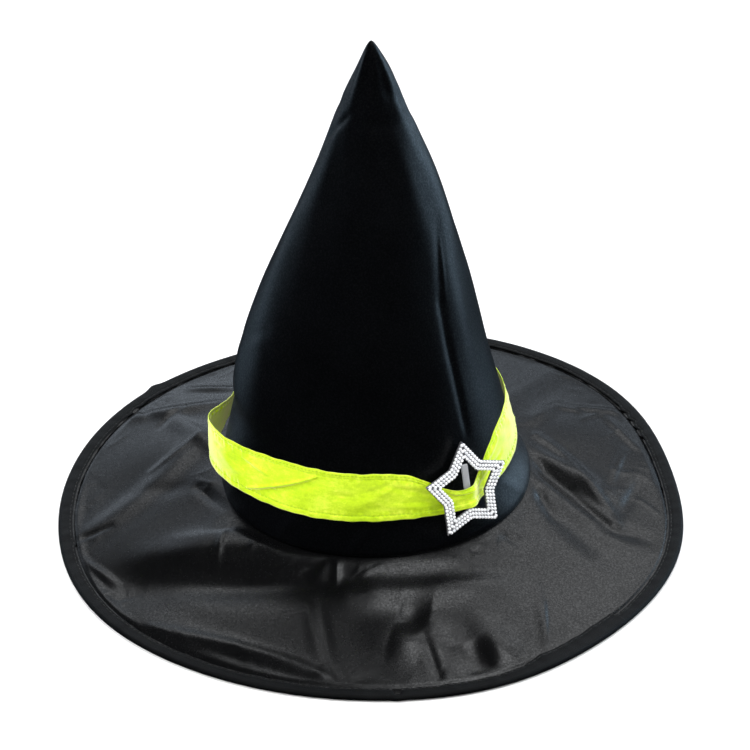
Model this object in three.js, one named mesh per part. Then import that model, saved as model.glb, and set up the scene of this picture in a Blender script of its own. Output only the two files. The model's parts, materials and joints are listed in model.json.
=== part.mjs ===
// A costume witch hat: a pointed crown on a round wired brim, with a loose ribbon
// band that carries a star buckle.
//
// Millimetres, +Z up. The origin is the middle of the brim's rim, on the surface
// that the hat stands on. The front of the hat faces -Y.

import * as THREE from 'three';

// ---- Driving dimensions ---------------------------------------------------

const RIM_RADIUS = 190;
const BINDING_WIDTH = 8.5;
const BINDING_TAPE = 0.6;
const HOOP_WIRE_RADIUS = 0.6;
const SLEEVE_RADIUS = 1.15;
const SIDES = 64;

const CLOTH = 0.8;
const THIN_CLOTH = 0.4;
const STIFFENER = 1;
const BRIM_STIFFENER = 0.7;
const GAP = 0.3;

const SEAM_RADIUS = 92.6;
const SEAM_HEIGHT = 24.1;
const CROWN_TOP = 309;
const CROWN_BULGE = 0.42;
const CROWN_FOOT_SHIFT = 3.6;
const CROWN_LEAN = 7.5;
const CROWN_WAIST = 2.4;
const HEAD_HOLE_RADIUS = 89.9;

const BAND_CLOTH = 0.8;
const BAND_LOW = 47.6;
const BAND_HIGH = 76.3;
const SLACK_ANGLE = THREE.MathUtils.degToRad(-72);
const BUCKLE_ANGLE = THREE.MathUtils.degToRad(38.4);
const BUCKLE_FACING = THREE.MathUtils.degToRad(34);
const BUCKLE_SLOPE = THREE.MathUtils.degToRad(16.4);
const BUCKLE_ROLL = THREE.MathUtils.degToRad(-3.6);
const BUCKLE_HEIGHT = 56.1;
const BUCKLE_BACK_RADIUS = 88.4;

const STAR_TIP_RADIUS = 29.4;
const STAR_NOTCH_RADIUS = 18.2;
const STAR_OPEN_SHARE = 0.637;
const STAR_FRAME = 1.6;
const STONE_DEPTH = 1.3;
const BAR_WIDTH = 4.5;
const BAR_DEPTH = 1.5;

// ---- Materials ------------------------------------------------------------

function finish(colour, roughness, metalness = 0) {
  return new THREE.MeshStandardMaterial({ color: colour, roughness, metalness });
}

const satin = finish(0x14171b, 0.42);
const brimSatin = finish(0x2a2a2c, 0.38);
const lining = finish(0x0e0f10, 0.75);
const felt = finish(0x1b1b1c, 0.95);
const tape = finish(0x0a0a0b, 0.85);
const wire = finish(0x8c8f92, 0.35, 1);
const neon = finish(0xc3e80f, 0.45);
const plated = finish(0xe6e8ea, 0.25, 0.6);
const stones = finish(0xf4f6f8, 0.15, 0.4);
const labelCloth = finish(0xe9e7e2, 0.8);

// ---- Helpers --------------------------------------------------------------

const hat = new THREE.Group();

function addTo(group, name, geometry, material) {
  const mesh = new THREE.Mesh(geometry, material);
  mesh.name = name;
  group.add(mesh);
  return mesh;
}

// A closed outline of [radius, height] points, turned about the Z axis.
function turned(outline, sides = SIDES) {
  const points = outline.map(([radius, height]) => new THREE.Vector2(radius, height));
  if (points[0].x > 0) {
    points.push(points[0].clone());
  }
  const geometry = new THREE.LatheGeometry(points, sides);
  geometry.rotateX(Math.PI / 2);
  return geometry;
}

// Moves every corner of a geometry to where place(corner) puts it.
function reshape(geometry, place) {
  const corners = geometry.attributes.position;
  const corner = new THREE.Vector3();
  for (let i = 0; i < corners.count; i += 1) {
    corner.fromBufferAttribute(corners, i);
    place(corner);
    corners.setXYZ(i, corner.x, corner.y, corner.z);
  }
  geometry.computeVertexNormals();
  return geometry;
}

function steps(count, make) {
  return Array.from({ length: count + 1 }, (_, i) => make(i / count));
}

// ---- Crown: a cone that swells a little, with its tip leaning to one side ----

const CROWN_TALL = CROWN_TOP - SEAM_HEIGHT;

// The cone flares at its foot, where it is sewn to the brim, and is drawn in by the band.
function crownRadius(height) {
  const up = (height - SEAM_HEIGHT) / CROWN_TALL;
  const drawnIn = THREE.MathUtils.smoothstep(height, SEAM_HEIGHT, SEAM_HEIGHT + 22);
  const letOut = THREE.MathUtils.smoothstep(height, 100, 160);
  return SEAM_RADIUS * (1 - up) * (1 + CROWN_BULGE * up) - CROWN_WAIST * drawnIn * (1 - letOut);
}

// The cone is round about the Z axis where the band turns, and off it above and below.
function crownMiddle(height) {
  const foot = 1 - THREE.MathUtils.smoothstep(height, SEAM_HEIGHT, SEAM_HEIGHT + 20);
  return CROWN_FOOT_SHIFT * foot + CROWN_LEAN * THREE.MathUtils.smoothstep(height, 130, 240);
}

// One layer of the crown, `inset` in from the outer cloth and `thick` through.
function crownLayer(inset, thick, foot) {
  const slant = 1.06;
  const tipSpread = SEAM_RADIUS * (1 + CROWN_BULGE) / CROWN_TALL;
  const side = (depth) => {
    const peak = CROWN_TOP - depth / tipSpread;
    return steps(12, (share) => {
      const height = foot + (peak - foot) * share ** 1.4;
      return [share === 1 ? 0 : crownRadius(height) - depth, height];
    });
  };
  const outer = side(inset * slant);
  const inner = side((inset + thick) * slant).reverse();
  const geometry = turned([...inner, ...outer]);
  return reshape(geometry, (corner) => {
    corner.x += crownMiddle(corner.z);
  });
}

addTo(hat, 'crown_cloth', crownLayer(0, CLOTH, SEAM_HEIGHT), satin);
addTo(hat, 'crown_stiffener', crownLayer(CLOTH + GAP, STIFFENER, SEAM_HEIGHT + 0.6), felt);

// ---- Sweatband and care label inside the head opening ----

const sweatOutline = [
  [88.5, 19.5],
  [89.5, 19.5],
  [89.5, 25],
  [84.6, 40],
  [81.4, 52],
  [80.4, 52],
  [83.6, 40],
  [88.5, 25],
];
const sweatRing = reshape(turned(sweatOutline), (corner) => {
  corner.x += crownMiddle(corner.z);
});
addTo(hat, 'sweatband', sweatRing, lining);

const label = addTo(hat, 'care_label', new THREE.BoxGeometry(28, 0.5, 20), labelCloth);
label.position.set(0, 77.5, 38);

// ---- Brim: two cloths and a stiffener, sloping down to a flat rim ----

const RIM_MIDDLE_HEIGHT = 1.95;
const LAYER_RADIUS = RIM_RADIUS - 3.5;
const SLOPE_FOOT_RADIUS = RIM_RADIUS - BINDING_WIDTH - 0.5;

function brimHeight(radius) {
  if (radius >= SLOPE_FOOT_RADIUS) {
    return RIM_MIDDLE_HEIGHT;
  }
  const inward = (SLOPE_FOOT_RADIUS - radius) / (SLOPE_FOOT_RADIUS - SEAM_RADIUS);
  return RIM_MIDDLE_HEIGHT + 20.5 * inward ** 1.12;
}

// One layer of the brim between two heights above its middle surface.
function brimLayer(low, high) {
  const radii = steps(4, (share) => THREE.MathUtils.lerp(HEAD_HOLE_RADIUS, SLOPE_FOOT_RADIUS, share));
  radii.push(LAYER_RADIUS);
  const under = radii.map((radius) => [radius, brimHeight(radius) + low]);
  const over = radii.map((radius) => [radius, brimHeight(radius) + high]).reverse();
  const geometry = turned([...under, ...over]);
  return reshape(geometry, (corner) => {
    const radius = Math.hypot(corner.x, corner.y);
    const inward = Math.max(0, (SLOPE_FOOT_RADIUS - radius) / (SLOPE_FOOT_RADIUS - HEAD_HOLE_RADIUS));
    corner.x += CROWN_FOOT_SHIFT * inward;
  });
}

const HALF_STIFFENER = BRIM_STIFFENER / 2;
const CLOTH_FACE = HALF_STIFFENER + GAP;
addTo(hat, 'brim_stiffener', brimLayer(-HALF_STIFFENER, HALF_STIFFENER), felt);
addTo(hat, 'brim_top_cloth', brimLayer(CLOTH_FACE, CLOTH_FACE + THIN_CLOTH), brimSatin);
addTo(hat, 'brim_under_cloth', brimLayer(-CLOTH_FACE - THIN_CLOTH, -CLOTH_FACE), lining);

// ---- Rim: a sprung wire hoop, its joint sleeve, and the tape bound round it ----

const HOOP_RADIUS = RIM_RADIUS - 2;
const JOINT_ANGLE = THREE.MathUtils.degToRad(147);
const HOOP_BREAK = THREE.MathUtils.degToRad(0.6);

// A curve round the rim, from one angle to another.
class RimArc extends THREE.Curve {
  constructor(start, end) {
    super();
    this.start = start;
    this.end = end;
  }

  getPoint(share, target = new THREE.Vector3()) {
    const angle = THREE.MathUtils.lerp(this.start, this.end, share);
    return target.set(
      HOOP_RADIUS * Math.cos(angle),
      HOOP_RADIUS * Math.sin(angle),
      RIM_MIDDLE_HEIGHT,
    );
  }
}

function rod(curve, radius, pieces, bore = 0) {
  const section = new THREE.Shape();
  section.absarc(0, 0, radius, 0, Math.PI * 2);
  if (bore > 0) {
    const hole = new THREE.Path();
    hole.absarc(0, 0, bore, 0, Math.PI * 2, true);
    section.holes.push(hole);
  }
  return new THREE.ExtrudeGeometry(section, {
    extrudePath: curve,
    steps: pieces,
    curveSegments: 4,
    bevelEnabled: false,
  });
}

const hoopCurve = new RimArc(JOINT_ANGLE + HOOP_BREAK, JOINT_ANGLE + Math.PI * 2 - HOOP_BREAK);
addTo(hat, 'rim_hoop', rod(hoopCurve, HOOP_WIRE_RADIUS, SIDES), wire);

const sleeveReach = THREE.MathUtils.degToRad(3.5);
const sleeveCurve = new RimArc(JOINT_ANGLE - sleeveReach, JOINT_ANGLE + sleeveReach);
addTo(hat, 'hoop_sleeve', rod(sleeveCurve, SLEEVE_RADIUS, 3, HOOP_WIRE_RADIUS + GAP), wire);

const bindingInside = RIM_RADIUS - BINDING_WIDTH;
const bindingTop = RIM_MIDDLE_HEIGHT * 2;
const fold = 0.7;
const bindingOutline = [
  [bindingInside, 0],
  [RIM_RADIUS - fold, 0],
  [RIM_RADIUS, fold],
  [RIM_RADIUS, bindingTop - fold],
  [RIM_RADIUS - fold, bindingTop],
  [bindingInside, bindingTop],
  [bindingInside, bindingTop - BINDING_TAPE],
  [RIM_RADIUS - BINDING_TAPE, bindingTop - BINDING_TAPE],
  [RIM_RADIUS - BINDING_TAPE, BINDING_TAPE],
  [bindingInside, BINDING_TAPE],
];
addTo(hat, 'rim_binding', turned(bindingOutline), tape);

// ---- Band: a loop of ribbon that hangs round the crown and can turn ----

// Angles round the crown are counted from the front towards the wearer's left.
// A smooth hump round one angle that dies away over `reach` degrees.
function hump(angle, middle, reach) {
  const turn = Math.PI * 2;
  const off = THREE.MathUtils.euclideanModulo(angle - middle + Math.PI, turn) - Math.PI;
  const share = off / THREE.MathUtils.degToRad(reach);
  return Math.exp(-share * share);
}

function bandEdges(angle) {
  const pinch = hump(angle, BUCKLE_ANGLE, 17);
  const overBar = hump(angle, BUCKLE_ANGLE, 5);
  const slack = hump(angle, SLACK_ANGLE, 23);
  const lowHeight = BAND_LOW - 4.2 * pinch + 3.2 * overBar;
  const highHeight = BAND_HIGH - 22 * pinch + 2 * overBar;
  const lowGap = 1.8 + 8.3 * slack + 6.8 * overBar;
  const highGap = 1.6 + 13.9 * slack + 6.8 * overBar;
  return {
    low: new THREE.Vector2(crownRadius(lowHeight) + lowGap, lowHeight),
    high: new THREE.Vector2(crownRadius(highHeight) + highGap, highHeight),
  };
}

// A ring of unit height turned first, then each corner moved on to the ribbon.
function bandLoop() {
  const insideRadius = 10;
  const outsideRadius = 11;
  const section = [
    [insideRadius, 0],
    [outsideRadius, 0],
    [outsideRadius, 0.5],
    [outsideRadius, 1],
    [insideRadius, 1],
    [insideRadius, 0.5],
  ];
  return reshape(turned(section, 120), (corner) => {
    const turn = Math.atan2(corner.x, -corner.y);
    const outward = Math.hypot(corner.x, corner.y) > 10.5 ? BAND_CLOTH : 0;
    const angle = BUCKLE_ANGLE + turn - 0.65 * Math.sin(turn);
    const { low, high } = bandEdges(angle);
    const edge = low.lerp(high, corner.z);
    const radius = edge.x + outward;
    corner.set(radius * Math.sin(angle), -radius * Math.cos(angle), edge.y);
  });
}

addTo(hat, 'hat_band', bandLoop(), neon);

// ---- Star buckle: a frame, ten mitred stone strips and the bar ----

function starPoint(index, share = 1) {
  const radius = index % 2 === 0 ? STAR_TIP_RADIUS : STAR_NOTCH_RADIUS;
  const angle = Math.PI / 2 + index * Math.PI / 5;
  return new THREE.Vector2(Math.cos(angle), Math.sin(angle)).multiplyScalar(radius * share);
}

function starFrame() {
  const corners = steps(9, (share) => Math.round(share * 9));
  const outline = new THREE.Shape(corners.map((index) => starPoint(index)));
  outline.holes.push(new THREE.Path(corners.map((index) => starPoint(index, STAR_OPEN_SHARE))));
  return new THREE.ExtrudeGeometry(outline, { depth: STAR_FRAME, bevelEnabled: false });
}

// One straight strip of stones, from a tip to the next notch, with mitred ends.
function stoneStrip(index) {
  const corners = [
    starPoint(index),
    starPoint(index + 1),
    starPoint(index + 1, STAR_OPEN_SHARE),
    starPoint(index, STAR_OPEN_SHARE),
  ];
  const middle = corners.reduce((sum, corner) => sum.add(corner), new THREE.Vector2());
  middle.multiplyScalar(0.25);
  const outline = new THREE.Shape(corners.map((corner) => corner.lerp(middle, 0.06)));
  const strip = new THREE.ExtrudeGeometry(outline, { depth: STONE_DEPTH, bevelEnabled: false });
  strip.translate(0, 0, STAR_FRAME + GAP);
  return strip;
}

const buckle = new THREE.Group();
const across = new THREE.Vector3(Math.cos(BUCKLE_FACING), Math.sin(BUCKLE_FACING), 0);
const outwards = new THREE.Vector3(
  Math.sin(BUCKLE_FACING) * Math.cos(BUCKLE_SLOPE),
  -Math.cos(BUCKLE_FACING) * Math.cos(BUCKLE_SLOPE),
  Math.sin(BUCKLE_SLOPE),
);
const upwards = new THREE.Vector3().crossVectors(outwards, across);
const facing = new THREE.Matrix4().makeBasis(across, upwards, outwards);
buckle.quaternion.setFromRotationMatrix(facing);
buckle.rotateZ(BUCKLE_ROLL);
buckle.position.set(
  BUCKLE_BACK_RADIUS * Math.sin(BUCKLE_ANGLE),
  -BUCKLE_BACK_RADIUS * Math.cos(BUCKLE_ANGLE),
  BUCKLE_HEIGHT,
);
hat.add(buckle);

addTo(buckle, 'buckle_frame', starFrame(), plated);

const barTop = 15.1;
const barFoot = -STAR_NOTCH_RADIUS * STAR_OPEN_SHARE + 0.4;
const barShape = new THREE.BoxGeometry(BAR_WIDTH, barTop - barFoot, BAR_DEPTH);
const bar = addTo(buckle, 'buckle_bar', barShape, plated);
bar.position.set(0, (barTop + barFoot) / 2, STAR_FRAME / 2);

for (let index = 0; index < 10; index += 1) {
  const name = `stone_strip_${String(index + 1).padStart(2, '0')}`;
  addTo(buckle, name, stoneStrip(index), stones);
}

export default hat;
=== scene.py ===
# %% [markdown]
# # A witch hat with a neon ribbon and a star buckle
# The hat is a wired brim, a pointed crown, a loose ribbon and a buckle. A frame of plain
# solids already fixes their sizes and says what moves with what. Each piece could be
# scaled by eye until it fits, but here the frame's sizes are read first, so that nothing
# has to be fitted afterwards. Blender works in metres. Cloth is easier to think of in
# millimetres, so shapes are worked out in those and turned into metres at the end.

import json
import math
import random

import bpy
import numpy as np
from mathutils import Matrix, Vector


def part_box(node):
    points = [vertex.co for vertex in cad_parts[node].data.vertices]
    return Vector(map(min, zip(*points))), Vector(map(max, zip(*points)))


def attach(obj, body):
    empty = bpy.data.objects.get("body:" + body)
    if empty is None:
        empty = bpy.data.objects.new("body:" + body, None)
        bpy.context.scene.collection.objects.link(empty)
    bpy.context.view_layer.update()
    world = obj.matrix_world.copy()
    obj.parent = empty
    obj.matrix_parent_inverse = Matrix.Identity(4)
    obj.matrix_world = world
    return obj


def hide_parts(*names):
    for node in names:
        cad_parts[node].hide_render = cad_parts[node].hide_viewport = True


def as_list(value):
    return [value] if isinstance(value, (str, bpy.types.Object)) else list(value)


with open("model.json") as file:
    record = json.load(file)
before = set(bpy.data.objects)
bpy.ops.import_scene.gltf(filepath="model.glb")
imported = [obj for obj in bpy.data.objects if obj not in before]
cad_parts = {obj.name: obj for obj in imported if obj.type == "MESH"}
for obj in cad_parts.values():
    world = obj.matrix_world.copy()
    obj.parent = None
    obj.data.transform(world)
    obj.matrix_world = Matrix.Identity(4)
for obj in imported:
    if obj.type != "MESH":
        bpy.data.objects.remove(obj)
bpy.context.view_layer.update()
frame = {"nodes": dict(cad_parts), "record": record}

# %% Read the hat's driving sizes
MM = 0.001
rim_low, rim_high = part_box("rim_binding")
crown_low, crown_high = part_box("crown_cloth")
label_low, label_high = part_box("care_label")
joints = {joint["name"]: joint for joint in frame["record"]["behaviour"]["joints"]}

RIM_RADIUS = (rim_high[0] - rim_low[0]) / 2
RIM_TOP = rim_high[2]
SEAM_HEIGHT = crown_low[2]
CROWN_TOP = crown_high[2]
SEAM_RADIUS = (crown_high[1] - crown_low[1]) / 2
print("rim radius", RIM_RADIUS, "crown from", SEAM_HEIGHT, "to", CROWN_TOP)

# %% [markdown]
# ## Camera
# A hat on a table is looked at from a little above. A short lens close by would make the
# near side of the brim look too big, so a long lens is used from further away, and the
# cone keeps its proportions. The camera is aimed at a point part of the way up the crown,
# and is rolled by a degree and a half, as a hand-held one is.

# %% Place the camera
CAMERA_HEIGHT_ANGLE = math.radians(33.19)
CAMERA_DISTANCE = 1.8
CAMERA_AIM = Vector((0.0044, 0, 0.0903))
CAMERA_ROLL = math.radians(-1.67)
LENS_LENGTH = 147.4
SENSOR_WIDTH = 36


def place_camera():
    back = Vector((0, -math.cos(CAMERA_HEIGHT_ANGLE), math.sin(CAMERA_HEIGHT_ANGLE)))
    right = Vector((1, 0, 0))
    upright = back.cross(right)
    turn = Matrix((right, upright, back)).transposed().to_4x4()
    turn = turn @ Matrix.Rotation(CAMERA_ROLL, 4, "Z")
    lens = bpy.data.cameras.new("camera")
    lens.lens = LENS_LENGTH
    lens.sensor_width = SENSOR_WIDTH
    camera = bpy.data.objects.new("camera", lens)
    camera.matrix_world = Matrix.Translation(CAMERA_AIM + back * CAMERA_DISTANCE) @ turn
    bpy.context.scene.collection.objects.link(camera)
    bpy.context.scene.camera = camera
    return camera


camera = place_camera()
print("camera at", [round(value, 3) for value in camera.matrix_world.translation])

# %% [markdown]
# ## Shader expressions
# Nodes can be placed and joined one at a time, but a material is easier to read as a
# formula than as a heap of nodes. `Wire` wraps one socket and turns Python's operators
# into Math nodes, and `Nodes` makes every other node with one method. Colours are mixed
# by a Mix node, because a Math node would turn them grey.

# %% Turn operators into Math nodes
class Wire:
    """A number that changes over a surface."""

    def __init__(self, nodes, socket):
        self.nodes = nodes
        self.socket = socket

    def math(self, operation, first, second=None):
        sockets = {0: first} if second is None else {0: first, 1: second}
        return self.nodes.node("ShaderNodeMath", {"operation": operation}, sockets)

    def __add__(self, other):
        return self.math("ADD", self, other)

    def __radd__(self, other):
        return self.math("ADD", other, self)

    def __sub__(self, other):
        return self.math("SUBTRACT", self, other)

    def __rsub__(self, other):
        return self.math("SUBTRACT", other, self)

    def __mul__(self, other):
        return self.math("MULTIPLY", self, other)

    def __rmul__(self, other):
        return self.math("MULTIPLY", other, self)

    def __truediv__(self, other):
        return self.math("DIVIDE", self, other)

    def __rtruediv__(self, other):
        return self.math("DIVIDE", other, self)

    def __abs__(self):
        return self.math("ABSOLUTE", self)

    def sine(self):
        return self.math("SINE", self)

    def clamped(self):
        return self.math("MINIMUM", self.math("MAXIMUM", self, 0), 1)


# %% Make any other node
class Nodes:
    """The nodes of one material, or of the room."""

    def __init__(self, tree):
        self.tree = tree

    def node(self, kind, settings=None, sockets=None, output=0):
        made = self.tree.nodes.new(kind)
        for name, value in (settings or {}).items():
            if name == "stops":
                self.set_stops(made.color_ramp, value)
            else:
                setattr(made, name, value)
        for name, value in (sockets or {}).items():
            self.plug(made.inputs[name], value)
        return Wire(self, made.outputs[output]) if made.outputs else None

    def set_stops(self, ramp, stops):
        while len(ramp.elements) < len(stops):
            ramp.elements.new(0.5)
        for element, (place, colour) in zip(ramp.elements, stops):
            element.position = place
            element.color = (*colour, 1)

    def plug(self, socket, value):
        if isinstance(value, Wire):
            self.tree.links.new(value.socket, socket)
        else:
            socket.default_value = value


# %% Build a material as a formula
class Finish(Nodes):
    """One material: `fixed` values are the same all over it, and `set` ones change."""

    def __init__(self, name, **fixed):
        self.material = bpy.data.materials.new(name)
        self.material.use_nodes = True
        super().__init__(self.material.node_tree)
        self.shader = self.tree.nodes["Principled BSDF"]
        self.set(**fixed)

    def set(self, **values):
        for socket, value in values.items():
            self.plug(self.shader.inputs[socket.replace("_", " ")], value)
        return self

    def place(self, axis=None):
        """The spot on the object in metres, or one axis of it."""
        spot = self.node("ShaderNodeTexCoord", output="Object")
        if axis is None:
            return spot
        return self.node("ShaderNodeSeparateXYZ", sockets={0: spot}, output=axis)

    def noise(self, size, detail=2.0, roughness=0.5, stretch=(1, 1, 1)):
        """Cloudy noise from 0 to 1, with clouds of about `size` metres."""
        mapping = {"Vector": self.place(), "Scale": stretch}
        scaled = self.node("ShaderNodeMapping", {"vector_type": "POINT"}, mapping)
        sockets = {"Vector": scaled, "Scale": 1 / size, "Detail": detail, "Roughness": roughness}
        return self.node("ShaderNodeTexNoise", sockets=sockets)

    def ramp(self, value, *stops):
        return self.node("ShaderNodeValToRGB", {"stops": stops}, {0: value})

    def mix(self, mask, low, high):
        """The colour `low` where the mask is 0, and `high` where it is 1."""
        low, high = (value if isinstance(value, Wire) else (*value, 1) for value in (low, high))
        sockets = {0: mask, 6: low, 7: high}
        return self.node("ShaderNodeMix", {"data_type": "RGBA"}, sockets, output=2)

    def bump(self, height, distance):
        """Raises the surface by up to `distance` metres where `height` is 1."""
        sockets = {"Strength": 1.0, "Distance": distance, "Height": height}
        normal = self.node("ShaderNodeBump", sockets=sockets)
        self.plug(self.shader.inputs["Normal"], normal)
        return self


print("shader helpers", [kind.__name__ for kind in (Wire, Nodes, Finish)])

# %% [markdown]
# ## Floor and light
# Black satin shows the room more than its own colour. One lamp would leave a single
# bright spot on it, and an even white room would turn it grey, so the room is built from
# soft panels with dark between them. A row of panels stands behind the hat, where the
# brim mirrors them: bright ones on the left, dimmer ones on the right, and a high one and
# a ceiling for the cloth that leans towards the camera. Two blue panels edge the crown,
# and the camera's side stays dark, so the front of the crown stays black. Four fills that
# satin doesn't mirror light the ribbon, the stones and the floor.

# %% Lay the floor
FLOOR_REACH = 1.7
FLOOR_GREY = 0.93


def lay_floor():
    mesh = bpy.data.meshes.new("floor")
    corners = [(x * FLOOR_REACH, y * FLOOR_REACH, 0) for x, y in ((-1, -1), (1, -1), (1, 1), (-1, 1))]
    mesh.from_pydata(corners, [], [(0, 1, 2, 3)])
    paper = Finish("floor_paper", Base_Color=(FLOOR_GREY, FLOOR_GREY, FLOOR_GREY, 1), Roughness=0.9)
    mesh.materials.append(paper.material)
    floor = bpy.data.objects.new("floor", mesh)
    bpy.context.scene.collection.objects.link(floor)
    floor.visible_glossy = False
    return floor


floor = lay_floor()
print("floor reaches", FLOOR_REACH, "m each way")

# %% Make a soft panel
WALL_BEHIND = 2.4
FILL_AIM = (0, 0, 0.08)


def add_panel(name, place, aim, size, power, colour=(1, 1, 1), mirrored=True):
    """A rectangle of light, `size` metres wide and high, that faces the point `aim`."""
    light = bpy.data.lights.new(name, "AREA")
    light.shape = "RECTANGLE"
    light.size, light.size_y = size
    light.energy = power
    light.color = colour
    lamp = bpy.data.objects.new(name, light)
    lamp.location = place
    lamp.rotation_mode = "QUATERNION"
    lamp.rotation_quaternion = (Vector(aim) - Vector(place)).to_track_quat("-Z", "Y")
    lamp.visible_camera = False
    lamp.visible_glossy = mirrored
    bpy.context.scene.collection.objects.link(lamp)
    return lamp


def add_wall(name, x, height, size, power, colour):
    """A panel that hangs upright behind the hat and faces straight forwards."""
    return add_panel(name, (x, WALL_BEHIND, height), (x, 0, height), size, power, colour)


def add_fill(name, place, size, power):
    """A white panel that lights the hat but isn't mirrored in it."""
    return add_panel(name, place, FILL_AIM, size, power, mirrored=False)


print("the wall of panels stands", WALL_BEHIND, "m behind the hat")

# %% Hang the panels
PALE, COOL, BLUE = (0.96, 0.98, 1.0), (0.78, 0.88, 1.0), (0.55, 0.78, 1.0)
panels = [
    add_wall("wall_left_foot", -1.6, 0.35, (3.2, 0.8), 7.2, COOL),
    add_wall("wall_left", -1.6, 1.20, (3.2, 0.9), 4.1, COOL),
    add_wall("wall_right_foot", 1.6, 0.35, (3.2, 0.8), 4.2, COOL),
    add_wall("wall_right", 1.6, 1.20, (3.2, 0.9), 1.7, COOL),
    add_wall("wall_high", 1.0, 3.20, (4.0, 2.9), 56, PALE),
    add_panel("ceiling", (0.75, -0.1, 2.6), (0.75, -0.1, 0), (1.5, 1.7), 22, PALE),
    add_panel("left_panel", (-2.4, 2.3, -0.6), (0, 2.3, -0.6), (1.8, 1.6), 4.6, BLUE),
    add_panel("right_panel", (2.0, 1.3, 0.4), (0, 1.3, 0.4), (1.9, 1.8), 21, BLUE),
    add_fill("front_fill", (-0.5, -1.8, 1.9), (2.4, 2.0), 25),
    add_fill("left_fill", (-1.8, -0.2, 0.9), (1.2, 1.2), 40),
    add_fill("right_fill", (1.8, -0.2, 0.9), (1.2, 1.2), 28),
    add_fill("top_fill", (0, 0, 2.7), (3.0, 3.0), 46),
]
print("panels", {panel.name: panel.data.energy for panel in panels})

# %% Paint the room
ROOM_SEEN = (1, 1, 1, 1)
ROOM_MIRRORED = (0.010, 0.011, 0.012, 1)


def paint_room():
    """A white room for the camera to see, and a nearly black one for everything else."""
    world = bpy.data.worlds.new("room")
    bpy.context.scene.world = world
    world.use_nodes = True
    world.node_tree.nodes.clear()
    room = Nodes(world.node_tree)
    seen = room.node("ShaderNodeBackground", sockets={"Color": ROOM_SEEN})
    mirrored = room.node("ShaderNodeBackground", sockets={"Color": ROOM_MIRRORED})
    looked_at = room.node("ShaderNodeLightPath", output="Is Camera Ray")
    either = room.node("ShaderNodeMixShader", sockets={0: looked_at, 1: mirrored, 2: seen})
    room.node("ShaderNodeOutputWorld", sockets={"Surface": either})


paint_room()
bpy.context.scene.view_settings.view_transform = "Standard"
print("room seen as", ROOM_SEEN[:3], "and mirrored as", ROOM_MIRRORED[:3])

# %% [markdown]
# ## Cloth as a grid
# Every soft piece here is a strip or a cone that goes once round the hat. Cloth could be
# draped by Blender's simulation, but this cloth is held by felt, wire and seams, and its
# folds lie where the sewing put them. So each piece is drawn as a grid: columns go round,
# counted in degrees from the front towards +X, and rows go from one edge of the cloth to
# the other. A second grid, one cloth thickness further in, closes it into a thin solid,
# so that its edges are real. The cloth's own coordinates, in metres along and across, are
# kept as its UV map for threads and stitches.

# %% Blend values smoothly
def smooth(value, start, end):
    share = np.clip((value - start) / (end - start), 0, 1)
    return share * share * (3 - 2 * share)


def hump(value, middle, reach):
    return np.exp(-(((value - middle) / reach) ** 2))


def off_angle(angle, middle):
    """Degrees from `middle` round to `angle`, from -180 to 180."""
    return (angle - middle + 180) % 360 - 180


def round_hump(angle, middle, reach):
    return np.exp(-((off_angle(angle, middle) / reach) ** 2))


print("half way up a smooth step:", float(smooth(0.5, 0, 1)))

# %% Lay out a grid
def spot_at(angle, radius, height):
    """Points in metres from an angle in degrees, and a radius and height in millimetres."""
    turn = np.radians(angle)
    spots = [radius * np.sin(turn), -radius * np.cos(turn), height + 0 * radius]
    return np.stack(np.broadcast_arrays(*spots), -1) * MM


def grid_normals(grid, wraps):
    """The direction that each point of a grid faces."""
    if wraps:
        across = np.roll(grid, -1, 1) - np.roll(grid, 1, 1)
    else:
        across = np.gradient(grid, axis=1)
    normals = np.cross(across, np.gradient(grid, axis=0))
    return normals / np.maximum(np.linalg.norm(normals, axis=2, keepdims=True), 1e-12)


def quads_of(rows, columns, wraps, first=0, flip=False):
    """Corner numbers of a grid's faces."""
    row, column = np.meshgrid(np.arange(rows - 1), np.arange(columns - (not wraps)), indexing="ij")
    after = (column + 1) % columns
    corners = [row * columns + column, row * columns + after,
               (row + 1) * columns + after, (row + 1) * columns + column]
    quads = np.stack(corners, -1).reshape(-1, 4) + first
    return quads[:, ::-1] if flip else quads


print("a wrapped grid of 2 by 8 points has", len(quads_of(2, 8, True)), "faces")

# %% Make a mesh of four-sided faces
def mesh_object(name, points, quads, uv=None, smooth_faces=True):
    mesh = bpy.data.meshes.new(name)
    mesh.vertices.add(len(points))
    mesh.vertices.foreach_set("co", np.ascontiguousarray(points, np.float32).ravel())
    mesh.loops.add(quads.size)
    mesh.loops.foreach_set("vertex_index", np.ascontiguousarray(quads, np.int32).ravel())
    mesh.polygons.add(len(quads))
    mesh.polygons.foreach_set("loop_start", np.arange(0, quads.size, 4, dtype=np.int32))
    mesh.update(calc_edges=True)
    mesh.polygons.foreach_set("use_smooth", np.full(len(quads), smooth_faces))
    if uv is not None:
        layer = mesh.uv_layers.new(name="cloth")
        layer.data.foreach_set("uv", np.ascontiguousarray(uv, np.float32).ravel())
    made = bpy.data.objects.new(name, mesh)
    bpy.context.scene.collection.objects.link(made)
    return made


# %% Give a grid its thickness
def cloth_uv(grid, quads, columns):
    """Metres round the cloth at its middle row, and metres across it."""
    middle = grid[len(grid) // 2]
    step = np.linalg.norm(middle - np.roll(middle, 1, 0), axis=1).mean()
    run = np.linalg.norm(np.diff(grid, axis=0), axis=2).mean(1)
    across = np.concatenate([[0], np.cumsum(run)])
    row, column = quads // columns, quads % columns
    column = np.where((column == 0) & (column.max(1, keepdims=True) == columns - 1), columns, column)
    return np.stack([column * step, across[row]], -1)


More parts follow.
